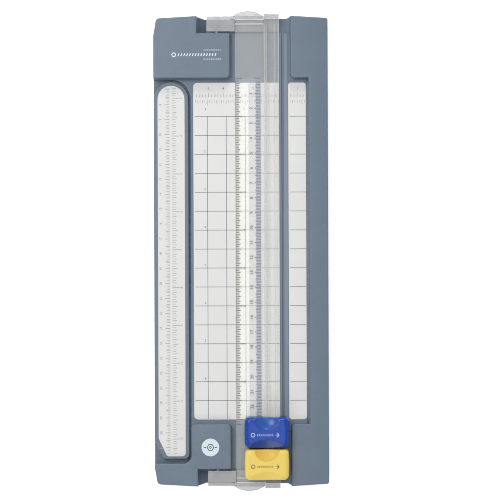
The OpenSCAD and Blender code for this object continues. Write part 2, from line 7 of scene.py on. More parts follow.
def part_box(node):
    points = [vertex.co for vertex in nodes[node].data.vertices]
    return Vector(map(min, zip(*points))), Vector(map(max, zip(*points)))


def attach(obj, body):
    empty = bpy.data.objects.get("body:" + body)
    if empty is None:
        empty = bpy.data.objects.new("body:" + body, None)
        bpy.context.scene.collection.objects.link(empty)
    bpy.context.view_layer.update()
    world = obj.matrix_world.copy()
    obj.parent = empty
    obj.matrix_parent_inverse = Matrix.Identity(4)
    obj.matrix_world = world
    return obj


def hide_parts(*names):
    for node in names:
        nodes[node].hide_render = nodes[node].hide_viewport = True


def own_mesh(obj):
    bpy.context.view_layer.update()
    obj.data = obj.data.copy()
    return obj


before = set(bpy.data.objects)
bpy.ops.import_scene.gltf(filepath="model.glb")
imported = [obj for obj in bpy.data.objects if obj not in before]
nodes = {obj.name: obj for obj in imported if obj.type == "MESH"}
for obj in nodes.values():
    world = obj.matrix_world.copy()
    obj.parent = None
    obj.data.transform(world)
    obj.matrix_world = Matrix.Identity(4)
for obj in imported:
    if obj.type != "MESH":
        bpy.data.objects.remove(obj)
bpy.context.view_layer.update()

MM = 0.001
INCH = 25.4
SIXTEENTH = INCH / 16
scene = bpy.context.scene


def span(node):
    """A CAD node's box in millimetres, as three (low, high) pairs."""
    low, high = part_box(node)
    return [(low[i] / MM, high[i] / MM) for i in range(3)]


# ---------------------------------------------------------------- materials

def shaded(colour, factor):
    """The colour made darker or lighter by factor."""
    return tuple(min(1.0, c * factor) for c in colour[:3]) + (1.0,)


def noise(tree, scale, detail=2.0, stretch=None):
    """Noise in the object's own space. scale is in features per metre, and stretch scales each axis."""
    place = tree.nodes.new("ShaderNodeTexCoord")
    texture = tree.nodes.new("ShaderNodeTexNoise")
    texture.inputs["Scale"].default_value = scale
    texture.inputs["Detail"].default_value = detail
    texture.inputs["Roughness"].default_value = 0.55
    source = place.outputs["Object"]
    if stretch:
        mapping = tree.nodes.new("ShaderNodeMapping")
        mapping.inputs["Scale"].default_value = stretch
        tree.links.new(source, mapping.inputs["Vector"])
        source = mapping.outputs["Vector"]
    tree.links.new(source, texture.inputs["Vector"])
    return texture.outputs["Fac"]


def ramp(tree, source, stops):
    """A colour ramp fed by source; stops are (place, colour)."""
    node = tree.nodes.new("ShaderNodeValToRGB")
    tree.links.new(source, node.inputs["Fac"])
    elements = node.color_ramp.elements
    while len(elements) < len(stops):
        elements.new(0.5)
    for element, (place, colour) in zip(elements, stops):
        element.position = place
        element.color = colour
    return node.outputs["Color"]


def finish(name, colour, roughness, spread=0.08, mottle=0.04, mottle_size=9, grain=0.4, depth=0.02,
           metallic=0.0, alpha=1.0, specular=0.5, coat=0.0, ior=1.5, stretch=None):
    """A moulded, printed or metal finish.

    mottle is how far the colour wanders over patches of mottle_size millimetres, spread is how far the
    roughness wanders, and grain and depth are the size and height in millimetres of the fine surface.
    """
    material = bpy.data.materials.new(name)
    material.use_nodes = True
    tree = material.node_tree
    shader = tree.nodes["Principled BSDF"]
    patches = noise(tree, 1 / (mottle_size * MM), 3.0, stretch)
    tint = ramp(tree, patches, [(0.3, shaded(colour, 1 - mottle)), (0.7, shaded(colour, 1 + mottle))])
    tree.links.new(tint, shader.inputs["Base Color"])
    smears = noise(tree, 1 / (grain * 6 * MM), 4.0, stretch)
    low, high = max(roughness - spread, 0.02), min(roughness + spread, 1.0)
    gloss = ramp(tree, smears, [(0.35, (low, low, low, 1)), (0.65, (high, high, high, 1))])
    tree.links.new(gloss, shader.inputs["Roughness"])
    bump = tree.nodes.new("ShaderNodeBump")
    bump.inputs["Strength"].default_value = 1.0
    bump.inputs["Distance"].default_value = depth * MM
    tree.links.new(noise(tree, 1 / (grain * MM), 2.0, stretch), bump.inputs["Height"])
    tree.links.new(bump.outputs["Normal"], shader.inputs["Normal"])
    shader.inputs["Metallic"].default_value = metallic
    shader.inputs["Alpha"].default_value = alpha
    shader.inputs["Specular IOR Level"].default_value = specular
    shader.inputs["Coat Weight"].default_value = coat
    shader.inputs["Coat Roughness"].default_value = 0.12
    shader.inputs["IOR"].default_value = ior
    return material


def clear(name, colour, roughness, alpha, **detail):
    """Clear plastic. Its alpha is how much each face hides of what lies behind."""
    return finish(name, colour, roughness, alpha=alpha, ior=1.49, **detail)


# mouldings
slate = finish("slate_plastic", (0.112, 0.152, 0.200, 1), 0.40, mottle=0.035, mottle_size=14, depth=0.014)
slate_arm = finish("arm_plastic", (0.118, 0.155, 0.200, 1), 0.38, mottle=0.035, depth=0.012)
slate_under = finish("cover_plastic", (0.080, 0.108, 0.145, 1), 0.6, mottle=0.06, grain=0.7, depth=0.04)
strip_plastic = finish("strip_plastic", (0.155, 0.197, 0.252, 1), 0.36, mottle=0.06, depth=0.008,
                       stretch=(1, 0.08, 1))
rubber = finish("foot_rubber", (0.018, 0.018, 0.02, 1), 0.82, mottle=0.2, grain=0.5, depth=0.05)
nylon = finish("dark_nylon", (0.045, 0.05, 0.06, 1), 0.5, mottle=0.1, depth=0.02)
blue_plastic = finish("blue_plastic", (0.006, 0.048, 0.320, 1), 0.27, mottle=0.04, spread=0.04,
                      depth=0.002, specular=0.28, coat=0.03)
yellow_plastic = finish("yellow_plastic", (0.74, 0.55, 0.120, 1), 0.36, mottle=0.02, spread=0.04,
                        depth=0.002, specular=0.24)

# metals
steel = finish("bright_steel", (0.62, 0.63, 0.65, 1), 0.28, metallic=1.0, mottle=0.05, grain=0.15,
               depth=0.004)
dull_steel = finish("dull_steel", (0.34, 0.35, 0.37, 1), 0.5, metallic=0.6, mottle=0.08, grain=0.2,
                    depth=0.006)
wheel_steel = finish("honed_steel", (0.66, 0.67, 0.69, 1), 0.2, metallic=1.0, mottle=0.06, grain=0.1,
                     depth=0.003)

# the clear rail, and the film under it
clear_plastic = clear("clear_plastic", (0.88, 0.87, 0.82, 1), 0.14, 0.12, spread=0.04, mottle=0.03,
                      mottle_size=40, grain=1.2, depth=0.006)
# a painted highlight: lighter faces on the rail's rounded edges, where clear plastic catches the light
clear_edge_painted_highlight = clear("clear_edge_painted_highlight", (0.62, 0.63, 0.63, 1), 0.16, 0.5, spread=0.04, depth=0.004)
# painted shade: dark faces on the rail's edges and end strips, and painted shadow at the ribs' near feet
clear_edge_painted_shade = clear("clear_edge_painted_shade", (0.23, 0.235, 0.24, 1), 0.16, 0.52, spread=0.04, mottle=0.05, depth=0.004)
# cloudier plastic at the rail's ends, its grey partly a painted shadow beneath the lugs and tabs
clear_haze_and_shadow = clear("clear_haze_and_shadow", (0.44, 0.45, 0.45, 1), 0.22, 0.52, spread=0.05, mottle=0.08,
                   mottle_size=5, grain=1.0, depth=0.008)
# painted shade: a darker tint under the flange's left overhang
clear_painted_underside_shade = clear("clear_painted_underside_shade", (0.30, 0.30, 0.285, 1), 0.2, 0.3, spread=0.04, depth=0.004)
clear_open = clear("clear_open", (0.80, 0.80, 0.78, 1), 0.14, 0.02, spread=0.04, mottle=0.03, depth=0.004)
# a painted highlight on the finger ribs' tops
clear_painted_glint = clear("clear_painted_glint", (0.88, 0.89, 0.90, 1), 0.16, 0.58, spread=0.04, depth=0.004)
clear_film = finish("clear_film", (0.70, 0.72, 0.74, 1), 0.35, mottle=0.02, alpha=0.07, depth=0.004)
blue_film = finish("blue_film", (0.54, 0.64, 0.82, 1), 0.4, mottle=0.03, alpha=0.10, depth=0.004)

# printed sheets and inks
paper = finish("printed_sheet", (0.640, 0.640, 0.625, 1), 0.5, mottle=0.012, mottle_size=22, grain=0.3,
               depth=0.006)
badge = finish("badge_sheet", (0.58, 0.65, 0.70, 1), 0.35, mottle=0.015, grain=0.3, depth=0.004)
white_print = finish("white_print", (0.91, 0.915, 0.865, 1), 0.45, mottle=0.01, depth=0.003)
# partly a grey print tint, partly painted shadow of the rail's numbers and flange
grey_print_and_shadow = finish("grey_print_and_shadow", (0.66, 0.67, 0.665, 1), 0.45, mottle=0.02, depth=0.003)


def ink(name, colour, mottle, mottle_size, roughness=0.5):
    """A thin printed colour, which is a little uneven over patches of mottle_size millimetres."""
    return finish(name, colour, roughness, mottle=mottle, mottle_size=mottle_size, depth=0.002)


black_ink = ink("black_ink", (0.018, 0.020, 0.026, 1), 0.25, 1.5)
grey_ink = ink("grey_ink", (0.14, 0.155, 0.175, 1), 0.2, 2)
soft_ink = ink("soft_ink", (0.30, 0.315, 0.335, 1), 0.2, 2)
line_ink = ink("line_ink", (0.10, 0.115, 0.145, 1), 0.12, 6)
blue_ink = ink("blue_ink", (0.005, 0.035, 0.150, 1), 0.25, 2)
pale_ink = ink("pale_ink", (0.74, 0.80, 0.85, 1), 0.05, 2, 0.45)
cap_ink = ink("cap_ink", (0.42, 0.52, 0.68, 1), 0.05, 2, 0.45)
brown_ink = ink("brown_ink", (0.10, 0.08, 0.06, 1), 0.2, 1.5, 0.45)


# ------------------------------------------------------------ mesh helpers

def piece(name, mesh, material, body, stands_for=()):
    """Puts a mesh in the scene as a piece that moves with a body."""
    mesh.materials.clear()
    mesh.materials.append(material)
    made = bpy.data.objects.new(name, mesh)
    scene.collection.objects.link(made)
    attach(made, body)
    if stands_for:
        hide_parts(*stands_for)
    return made


def mesh_from(bm, name):
    """A mesh with what has been built in bm, which is used up."""
    mesh = bpy.data.meshes.new(name)
    bm.to_mesh(mesh)
    bm.free()
    return mesh


def smooth(mesh, angle=32):
    """Smooth shading that keeps edges sharper than angle degrees."""
    bm = bmesh.new()
    bm.from_mesh(mesh)
    for face in bm.faces:
        face.smooth = True
    for edge in bm.edges:
        edge.smooth = edge.is_manifold and edge.calc_face_angle(0) < math.radians(angle)
    bm.to_mesh(mesh)
    bm.free()
    return mesh


def applied(obj):
    """The object's mesh with its modifiers applied, and the object gone."""
    graph = bpy.context.evaluated_depsgraph_get()
    made = obj.evaluated_get(graph)
    mesh = bpy.data.meshes.new_from_object(made, preserve_all_data_layers=True, depsgraph=graph)
    bpy.data.objects.remove(obj)
    return mesh


def faired(mesh):
    """The mesh with corner normals that keep its large flat faces flat."""
    holder = bpy.data.objects.new("holder", mesh)
    scene.collection.objects.link(holder)
    weights = holder.modifiers.new("normals", "WEIGHTED_NORMAL")
    weights.keep_sharp = True
    return applied(holder)


SLIVER = 0.03 * MM                             # edges shorter than this are joints between CAD shapes
ONE_PLANE = math.radians(0.5)                  # faces that meet at less than this are one
CORNER = math.radians(25)                      # edges sharper than this can be rounded
CUT = 1e-7                                     # how near a plane a point counts as on it, in metres


def clean_copy(node):
    """A CAD node's mesh welded into closed faces, with its flat faces whole."""
    bm = bmesh.new()
    bm.from_mesh(nodes[node].data)
    bmesh.ops.remove_doubles(bm, verts=bm.verts, dist=SLIVER / 10)
    bmesh.ops.remove_doubles(bm, verts=bm.verts, dist=SLIVER)
    bmesh.ops.dissolve_degenerate(bm, edges=bm.edges, dist=SLIVER / 10)
    bmesh.ops.dissolve_limit(bm, angle_limit=ONE_PLANE, verts=bm.verts, edges=bm.edges)
    bmesh.ops.recalc_face_normals(bm, faces=bm.faces)
    return bm


def softened(node, radius_at, segments=3, inner=False, shape=None):
    """A CAD node's mesh with rounded edges.

    radius_at gives the rounding in millimetres for an edge's middle and its two face normals, or 0. Inner
    corners are filled too if inner is true, and shape may bend the mesh afterwards.
    """
    bm = clean_copy(node)
    radii = {}
    for edge in bm.edges:
        if not edge.is_manifold or edge.calc_face_angle(0) < CORNER:
            continue
        if not edge.is_convex and not inner:
            continue
        middle = (edge.verts[0].co + edge.verts[1].co) / 2 / MM
        radius = radius_at(middle, edge.link_faces[0].normal, edge.link_faces[1].normal)
        if radius > 0:
            radii[edge.index] = radius
    widest = max(radii.values())
    mesh = mesh_from(bm, node + "_softened")
    weights = mesh.attributes.new("bevel_weight_edge", "FLOAT", "EDGE")
    for index, radius in radii.items():
        weights.data[index].value = radius / widest
    holder = bpy.data.objects.new("holder", mesh)
    scene.collection.objects.link(holder)
    bevel = holder.modifiers.new("round", "BEVEL")
    bevel.limit_method = "WEIGHT"
    bevel.offset_type = "OFFSET"
    bevel.width = widest * MM
    bevel.segments = segments
    bevel.use_clamp_overlap = False
    bevel.harden_normals = False
    mesh = applied(holder)
    if shape:
        mesh = shape(mesh)
    return faired(smooth(mesh))


def split_at(bm, axis, place):
    """Splits the faces that cross X (axis 0) or Y (axis 1) at a place in millimetres."""
    point, normal = [0, 0, 0], [0, 0, 0]
    point[axis] = place * MM
    normal[axis] = 1
    geometry = bm.verts[:] + bm.edges[:] + bm.faces[:]
    bmesh.ops.bisect_plane(bm, geom=geometry, plane_co=point, plane_no=normal, dist=CUT)


def box_into(bm, x, y, z):
    """Adds a closed box, in millimetres, to a mesh under construction."""
    places = [(x[i], y[j], z[k]) for k in (0, 1) for j in (0, 1) for i in (0, 1)]
    corners = [bm.verts.new([c * MM for c in place]) for place in places]
    for a, b, c, d in ((0, 2, 3, 1), (4, 5, 7, 6), (0, 1, 5, 4), (2, 6, 7, 3), (0, 4, 6, 2), (1, 3, 7, 5)):
        bm.faces.new((corners[a], corners[b], corners[c], corners[d]))


def prism_into(bm, outline, z):
    """Adds a closed prism with the given outline of (x, y) points, anticlockwise, in millimetres."""
    low = [bm.verts.new((x * MM, y * MM, z[0] * MM)) for x, y in outline]
    high = [bm.verts.new((x * MM, y * MM, z[1] * MM)) for x, y in outline]
    bm.faces.new(list(reversed(low)))
    bm.faces.new(high)
    for i in range(len(outline)):
        j = (i + 1) % len(outline)
        bm.faces.new((low[i], low[j], high[j], high[i]))


def ring_into(bm, centre, outer, inner, z, sides=40):
    """Adds a flat ring."""
    levels = []
    for radius in (outer, inner):
        for height in z:
            levels.append([
                bm.verts.new((
                    (centre[0] + radius * math.cos(2 * math.pi * i / sides)) * MM,
                    (centre[1] + radius * math.sin(2 * math.pi * i / sides)) * MM,
                    height * MM,
                ))
                for i in range(sides)
            ])
    outer_low, outer_high, inner_low, inner_high = levels
    for i in range(sides):
        j = (i + 1) % sides
        bm.faces.new((outer_low[i], outer_low[j], outer_high[j], outer_high[i]))
        bm.faces.new((outer_high[i], outer_high[j], inner_high[j], inner_high[i]))
        bm.faces.new((inner_high[i], inner_high[j], inner_low[j], inner_low[i]))
        bm.faces.new((inner_low[i], inner_low[j], outer_low[j], outer_low[i]))


digit_meshes = {}
TYPE_SIZE = 1.37                               # a numeral's type size over its height


def digits(text):
    """A closed mesh of the numerals in text, of type size 1 and 1 deep, centred at the origin."""
    if text not in digit_meshes:
        curve = bpy.data.curves.new("numerals", "FONT")
        curve.body = text
        curve.size = 1.0
        curve.align_x = "CENTER"
        curve.align_y = "CENTER"
        curve.resolution_u = 2
        curve.offset = 0.022
        curve.extrude = 0.5
        curve.space_character = 1.05
        holder = bpy.data.objects.new("holder", curve)
        scene.collection.objects.link(holder)
        digit_meshes[text] = applied(holder)
    return digit_meshes[text]


def write_into(bm, text, place, height, z, turn=0.0):
    """Adds numerals at a place (x, y), turned anticlockwise by turn degrees, between two heights z."""
    mesh = digits(text)
    tall = height * TYPE_SIZE * MM
    thick = (z[1] - z[0]) * MM
    matrix = (
        Matrix.Translation((place[0] * MM, place[1] * MM, (z[0] + z[1]) / 2 * MM))
        @ Matrix.Rotation(math.radians(turn), 4, "Z")
        @ Matrix.Diagonal((tall, tall, thick, 1))
    )
    before = len(bm.verts)
    bm.from_mesh(mesh)
    bm.verts.ensure_lookup_table()
    bmesh.ops.transform(bm, matrix=matrix, verts=bm.verts[before:])


def finished(bm, name):
    """A mesh from bm with every closed shell facing out."""
    bmesh.ops.remove_doubles(bm, verts=bm.verts, dist=1e-8)
    bmesh.ops.recalc_face_normals(bm, faces=bm.faces)
    return mesh_from(bm, name)


# --------------------------------------------------------------- the frame

base_x, base_y, base_z = span("base_shell")
arm_x, arm_y, arm_z = span("swing_arm")
deck_sheet = span("deck_label")
side_sheet = span("side_label")
arm_sheet = span("arm_label")
strip = span("cutting_strip")
film = span("rail_scale")
emblem = span("emblem_disc")
deck_top = deck_sheet[2][1] - 0.05             # the printed sheets stand that much proud
block_top = base_z[1]
plate_bottom = film[2][0]
plate_top = plate_bottom + 2                   # the plate's thickness
cut_x = sum(span("cut_wheel")[0]) / 2 + 0.3    # where the printed inches count from


# -------------------------------------------------------------------- base

emblem_mid = (sum(emblem[0]) / 2, sum(emblem[1]) / 2)
emblem_reach = (emblem[0][1] - emblem[0][0]) / 2 + 1
LEVEL = 0.9                                    # normals that rise more than this belong to level faces
STEEP = 0.3                                    # and less than this to steep ones
BLOCK_ROUND = 0.8                              # rounding of the raised blocks' tops
DECK_ROUND = 0.35                              # of the edges at the deck's height
OUTER_ROUND = 0.3                              # of the upright outer corners
OUTER_DEPTH = 8                                # how far below the deck these are rounded


def base_rounding(middle, one, other):
    """Block tops are well rounded; the arm's and hinges' recesses and the outer corners only a little."""
    top = max(one.z, other.z)
    if middle.z > block_top - 0.5 and top > LEVEL:
        return 0 if math.dist(middle[:2], emblem_mid) < emblem_reach else BLOCK_ROUND
    if top < STEEP:
        outside = abs(middle.x) > base_x[1] - 1 or abs(middle.y) > base_y[1] - 4
        return OUTER_ROUND if outside and middle.z > deck_top - OUTER_DEPTH else 0
    beside = deck_sheet[0][0] - 0.5 < middle.x < side_sheet[0][1] + 1
    sheets = beside and abs(middle.y) < strip[1][1] - 0.5
    return 0 if sheets or abs(middle.z - deck_top) > 0.1 else DECK_ROUND


# where each side starts to fall away, where it ends, and how far it falls
CROWNS = ((-24, base_x[0], 0.3), (30, base_x[1], 1.4))
SLICE = 2.9                                    # width of the strips that follow the crown
FIRST_SLICE = 0.37                             # the first is this share of one, clear of the CAD's own edges


def crown_drop(x):
    """How far the raised parts fall away at x; the moulding is a little crowned towards its long sides."""
    for start, end, drop in CROWNS:
        share = (x - start) / (end - start)
        if share > 0:
            return drop * share ** 2
    return 0.0


def crowned(mesh):
    """The mesh with its raised parts bent down by crown_drop."""
    bm = bmesh.new()
    bm.from_mesh(mesh)
    for start, end, drop in CROWNS:
        way = 1 if end > start else -1
        for i in range(int(abs(end - start) / SLICE) + 1):
            x = start + way * (i + FIRST_SLICE) * SLICE
            if abs(x) < abs(end) - 1:
                split_at(bm, 0, x)
    for vertex in bm.verts:
        rise = (vertex.co.z / MM - deck_top) / (block_top - deck_top)
        vertex.co.z -= crown_drop(vertex.co.x / MM) * min(max(rise, 0), 1) * MM
    return mesh_from(bm, "crowned")


def rim_rounding(radius):
    """The same rounding for every edge."""
    return lambda middle, one, other: radius


piece("base_body", softened("base_shell", base_rounding, shape=crowned), slate, "base",
      ["base_shell"])
piece("strip_body", softened("cutting_strip", rim_rounding(0.25)), strip_plastic, "base",
      ["cutting_strip"])
COVER_LOW, FEET_LOW = 1.6, 1.0                 # only edges below these heights are rounded
piece("cover_panel", softened("bottom_cover", lambda m, a, b: 0.15 if m.z < COVER_LOW else 0, 2),
      slate_under, "base", ["bottom_cover"])
piece("soft_feet", softened("rubber_feet", lambda m, a, b: 0.25 if m.z < FEET_LOW else 0), rubber, "base",
      ["rubber_feet"])


# ---------------------------------------------------------------------- arm

pivot = (sum(arm_x) / 2, arm_y[1] - (arm_x[1] - arm_x[0]) / 2)
BAR = 4.5                                      # edges further below the top than this aren't on its bar
TIP = 12                                       # how far the bar's spine stays away from its near end


def arm_rounding(middle, one, other):
    """The arm's upper rim is rounded; the printed sheet's seat stays crisp."""
    if middle.z < arm_z[1] - 0.05:
        return 0.25 if middle.z > arm_z[1] - BAR and max(one.z, other.z) < STEEP else 0
    side = one if one.z < other.z else other
    spine = Vector((pivot[0], min(pivot[1], max(middle.y, arm_y[0] + TIP)), 0))
    outward = side.x * (middle.x - spine.x) + side.y * (middle.y - spine.y)
    return 0.6 if outward > 0 else 0.1


piece("arm_body", softened("swing_arm", arm_rounding), slate_arm, "ruler_arm", ["swing_arm"])


# -------------------------------------------------------------------- rail

rail_edge = -3.8                               # the plate's left edge between the hinges
web_x = (17.6, 22.6)                           # the wall that carries the flange
end_bar = 147.0                                # the plate's hazy end bars begin here
end_wall = 155.2                               # and the flange's hazy end
grips = (151.0, 156.2)                         # where the two low ribs for the fingers are
plate_end = 157.4                              # where the plate steps down to the thumb tab
tab_root = plate_end + 0.25                    # and where the clearer tab begins


def rail_rounding(middle, one, other):
    """Edges are rounded, apart from the shallow seat of the printed film, and low steps only a little."""
    in_seat = film[0][0] - 0.1 < middle.x < film[0][1] + 0.1 and abs(middle.y) < film[1][1] + 0.1
    if middle.z < film[2][1] + 0.02 and in_seat:
        return 0
    if middle.z < plate_bottom + 0.1:
        return 0.2                             # the underside
    out = abs(middle.y)
    above = middle.z - plate_top
    crosswise = max(abs(one.y), abs(other.y)) > 0.98
    if crosswise and abs(out - plate_end) < 0.5 and -0.5 < above < 0.1:
        return 0.15                            # the step to the thumb tab, which is 0.4 mm high
    if out > plate_end - 0.5 and -1.1 < above < -0.1:
        return 0.5                             # the tab's outline
    if crosswise and grips[0] < out < grips[1] and -0.1 < above < 0.7:
        return 0.22                            # the ribs, which are 0.6 mm high
    return 0.35


def rail_bands(mesh):
    """Splits the long faces where the hazy ends and the ends with painted shade begin."""
    bm = bmesh.new()
    bm.from_mesh(mesh)
    for y in (-tab_root, -end_wall, -end_bar, end_bar, end_wall, tab_root):
        split_at(bm, 1, y)
    return mesh_from(bm, "rail_bands")


# The rail's materials in their order: clear plastic, a painted highlight on its edges, painted shade on its
# edges and ends, the hazy ends with some painted shadow, painted shade on the flange seen from below, the
# clearest part right of the wall, and a painted highlight on the ribs' tops.
CLEAR, EDGE, PAINTED_SHADE_EDGE, HAZE_AND_SHADOW, PAINTED_UNDERSIDE_SHADE, OPEN, PAINTED_GLINT = range(7)
UPRIGHT = 0.12                                 # normals that rise less than this belong to upright faces


def rail_faces(mesh):
    """Sorts the rail's faces by how they look."""
    for face in mesh.polygons:
        x, y, z = (c / MM for c in face.center)
        out = abs(y)
        above = z - plate_top
        sloping = UPRIGHT < abs(face.normal.z) < 0.985
        under_flange = above > 1 and face.normal.z < -LEVEL
        lug_ridge = x < rail_edge and above > 1.5 and end_wall - 0.8 < out < end_wall + 0.2
        # the finger ribs: a painted highlight on their tops, painted shadow at the feet that face the middle
        if grips[0] < out < grips[1] and rail_edge < x < web_x[0] - 2 and 0.01 < above < 0.7:
            face.material_index = PAINTED_GLINT if above > 0.25 else HAZE_AND_SHADOW if face.normal.y * y > 0 else PAINTED_SHADE_EDGE
        # the lug's ridge and the tab's raised outline: painted shade
        elif sloping and (lug_ridge or above > 1 and out > plate_end + 0.5):
            face.material_index = PAINTED_SHADE_EDGE
        elif sloping and x < rail_edge + 0.5 and out < end_bar:
            face.material_index = CLEAR
        # rounded edges: a painted highlight above the plate, painted shade at the plate's foot
        elif sloping and (out < end_bar or face.area < 25 * MM * MM):
            face.material_index = EDGE if above > 0.2 else PAINTED_SHADE_EDGE
        # upright faces at the ends: a painted highlight
        elif out > end_bar and abs(face.normal.z) < UPRIGHT:
            face.material_index = EDGE
        # the end strips of the plate and the flange: painted shade
        elif out > end_wall and (out < tab_root or x > web_x[0]):
            face.material_index = PAINTED_SHADE_EDGE
        # the hazy ends: partly cloudy plastic, partly painted shadow
        elif out > (end_wall if x > web_x[0] - 2.2 else end_bar):
            face.material_index = HAZE_AND_SHADOW
        # painted shade under the flange left of the wall
        elif under_flange and x < web_x[0]:
            face.material_index = PAINTED_UNDERSIDE_SHADE
        elif x > web_x[1] and (under_flange or abs(z - plate_top) < 0.1):
            face.material_index = OPEN


made = piece("rail_body", softened("clear_rail", rail_rounding, 2, inner=True, shape=rail_bands),
             clear_plastic, "rail", ["clear_rail"])
for extra in (clear_edge_painted_highlight, clear_edge_painted_shade, clear_haze_and_shadow, clear_painted_underside_shade, clear_open, clear_painted_glint):
    made.data.materials.append(extra)
rail_faces(made.data)


# The printed film under the plate, with its inks just above it.
FILM_GAP = 0.03
film_z = (film[2][0] + FILM_GAP, film[2][1] - FILM_GAP)
ink_z = (film_z[1] + 0.004, film_z[1] + 0.016)
blue_band = (10.0, 13.4)                       # where the millimetre ticks are

bm = bmesh.new()
box_into(bm, film[0], film[1], film_z)
piece("scale_film", finished(bm, "scale_film"), clear_film, "rail", ["rail_scale"])
bm = bmesh.new()
box_into(bm, (blue_band[0] - 0.2, blue_band[1]), film[1], (film_z[1] + 0.001, film_z[1] + 0.003))
piece("blue_tint", finished(bm, "blue_tint"), blue_film, "rail")


# ------------------------------------------------------------------- prints

def tick_row(bm, across, start, stop, step, lengths, width, z, from_low=True):
    """Ruler ticks along Y from start towards stop.

    across is the X where each tick begins, and it runs in +X when from_low is true, or the other way.
    lengths gives a tick's length and width factor from its number.
    """
    count = int(abs(stop - start) / step + 0.5)
    way = 1 if stop > start else -1
    for i in range(count + 1):
        at = start + way * i * step
        length, weight = lengths(i)
        half = width * weight / 2
        reach = (across, across + length) if from_low else (across - length, across)
        box_into(bm, reach, (at - half, at + half), z)


def inch_ticks(short):
    """Lengths of sixteenth-inch ticks, from the shortest."""
    def length(i):
        if i % 16 == 0:
            return short * 2.1, 1.2
        if i % 8 == 0:
            return short * 1.5, 1.1
        return (short * 1.25, 1.0) if i % 2 == 0 else (short, 0.85)
    return length


def rail_ticks(i):
    """The rail's sixteenth-inch ticks, which are short and bold."""
    if i % 16 == 0:
        return 4.3, 1.2
    if i % 8 == 0:
        return 3.5, 1.1
    return (3.0, 1.0) if i % 2 == 0 else (2.3, 0.95)


def even_ticks(short):
    """Lengths of millimetre ticks that are nearly equally bold."""
    def length(i):
        return (short * 1.3, 1.15) if i % 10 == 0 else (short * (1.15 if i % 5 == 0 else 1.0), 1.0)
    return length


def millimetre_ticks(short):
    """Lengths of millimetre ticks, with every second one bolder."""
    def length(i):
        if i % 10 == 0:
            return short * 1.5, 1.25
        if i % 5 == 0:
            return short * 1.25, 1.0
        return (short, 1.0) if i % 2 == 0 else (short * 0.7, 0.45)
    return length


# on the rail
scale_top = film[1][1]
scale_end = film[1][0]
bm = bmesh.new()
tick_row(bm, rail_edge + 0.35, scale_top, scale_end, SIXTEENTH, rail_ticks, 0.54, ink_z)
box_into(bm, (rail_edge + 0.3, rail_edge + 0.6), film[1], ink_z)
piece("rail_inch_ticks", finished(bm, "rail_inch_ticks"), black_ink, "rail")

bm = bmesh.new()
for number in range(1, 10):
    write_into(bm, str(number), (2.3, scale_top - number * INCH), 1.8, ink_z, 90)
for number in range(1, 24):
    write_into(bm, str(number), (7.0, scale_top - number * 10), 2.1, ink_z, 90)
piece("rail_numbers", finished(bm, "rail_numbers"), black_ink, "rail")

bm = bmesh.new()
tick_row(bm, blue_band[1] - 0.05, scale_top, scale_end, 1, even_ticks(3.2), 0.52, ink_z, from_low=False)
piece("rail_millimetre_ticks", finished(bm, "rail_millimetre_ticks"), blue_ink, "rail")

# on the deck, under the rail: a white band below the inches, and a greyer one below the centimetres that is
# partly print and partly painted shadow of the rail's numbers and flange
band_z = (deck_sheet[2][1] - 0.005, deck_sheet[2][1] + 0.006)
for name, x, material in (("band_white", (-1.3, 5.2), white_print), ("band_grey_and_shadow", (5.2, 15.2), grey_print_and_shadow)):
    bm = bmesh.new()
    box_into(bm, x, (deck_sheet[1][0] + 0.02, deck_sheet[1][1] - 0.02), band_z)
    piece(name, finished(bm, name), material, "base")

# on the deck: half-inch grid, inches from the cutting line across, and both tick rows at the far edge
print_z = (deck_sheet[2][1] - 0.005, deck_sheet[2][1] + 0.012)
grid_top = scale_top - INCH
LINE = 0.36                                    # width of a grid line
SMALL = 1.5                                    # height of the small numbers
sheet_end = deck_sheet[1][0]
bm = bmesh.new()
for half_inches in (2, 3, 4):
    x = cut_x - half_inches * INCH / 2
    box_into(bm, (x - LINE / 2, x + LINE / 2), (sheet_end + 0.4, grid_top + LINE / 2), print_z)
row_count = int((grid_top - sheet_end) / (INCH / 2))
for row in range(row_count + 1):
    y = (grid_top - row * INCH / 2 - LINE / 2, grid_top - row * INCH / 2 + LINE / 2)
    box_into(bm, (deck_sheet[0][0] + 0.9, deck_sheet[0][1] - 0.2), y, print_z)
    box_into(bm, (side_sheet[0][0] + 0.8, side_sheet[0][1] - 0.2), y, print_z)
piece("grid_lines", finished(bm, "grid_lines"), line_ink, "base")

centimetre_y, centimetre_number_y = 103.2, 109.0
inch_y, inch_number_y = 101.2, 95.2
bm = bmesh.new()
for sheet, way in ((deck_sheet, -1), (side_sheet, 1)):
    edges = sorted(abs(x - cut_x) for x in sheet[0])
    start, stop = edges[0] + 0.5, edges[1] - 0.8    # the ticks keep clear of the sheet's edges
    for millimetres in range(math.ceil(start), int(stop) + 1):
        length, weight = millimetre_ticks(1.9)(millimetres)
        x = cut_x + way * millimetres
        box_into(bm, (x - 0.1 * weight, x + 0.1 * weight), (centimetre_y, centimetre_y + length), print_z)
        if millimetres % 10 == 0 and min(abs(x - edge) for edge in sheet[0]) > SMALL:
            write_into(bm, str(millimetres // 10), (x, centimetre_number_y), SMALL, print_z)
    for sixteenths in range(math.ceil(start / SIXTEENTH), int(stop / SIXTEENTH) + 1):
        length, weight = inch_ticks(1.6)(sixteenths)
        x = cut_x + way * sixteenths * SIXTEENTH
        box_into(bm, (x - 0.12 * weight, x + 0.12 * weight), (inch_y - length, inch_y), print_z)
        if sixteenths % 16 == 0:
            write_into(bm, str(sixteenths // 16), (x - 1.2, inch_number_y), SMALL, print_z)
for number in range(2, 9):
    place = (cut_x - 2 * INCH - 1.7, scale_top - number * INCH + 2.0)
    write_into(bm, str(number), place, SMALL, print_z)
piece("deck_scales", finished(bm, "deck_scales"), grey_ink, "base")

